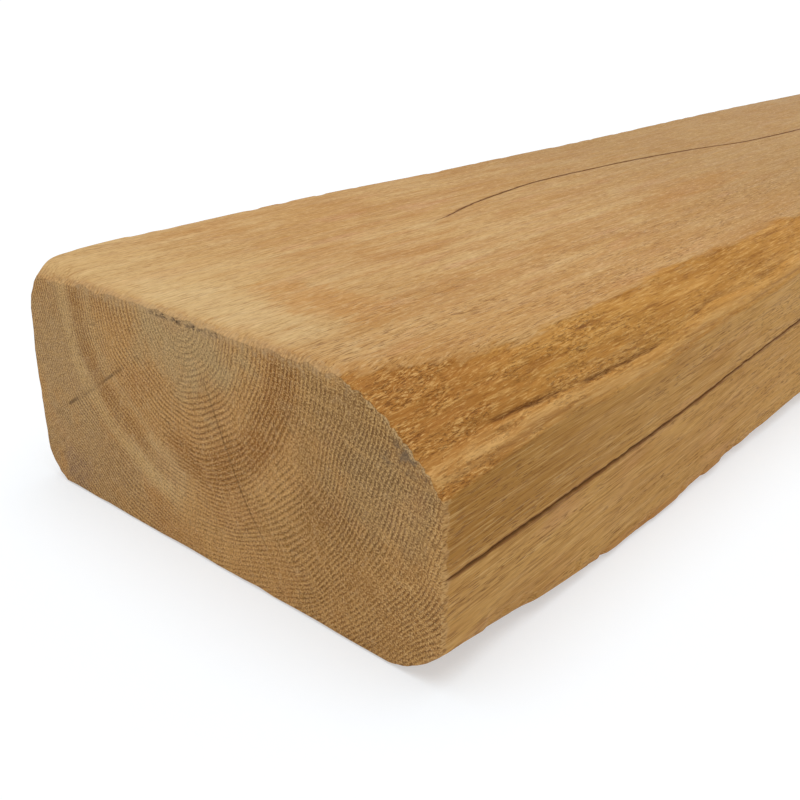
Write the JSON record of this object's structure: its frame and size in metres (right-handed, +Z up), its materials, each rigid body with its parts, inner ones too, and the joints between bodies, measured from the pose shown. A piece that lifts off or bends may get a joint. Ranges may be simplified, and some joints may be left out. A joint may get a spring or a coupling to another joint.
{
  "type": "reclaimed oak beam",
  "caption": "Squared length of old solid oak, broad and shallow in section, with a waney hewn top edge and drying checks, for use as a lintel, mantel, shelf or bearer.",
  "frame": {"origin": "middle of the base, on the floor, at mid-length and mid-width", "axes": "+X along the grain, away from the end that the side check nicks; +Y across the broad faces, away from the side with the check and the waney top edge; +Z up through the thickness"},
  "size_m": [1.2, 0.225, 0.098],
  "materials": {
    "oak": "bare, sawn and hewn, weathered and matte"
  },
  "bodies": {
    "root": {"oak_beam": "oak"}
  },
  "joints": []
}
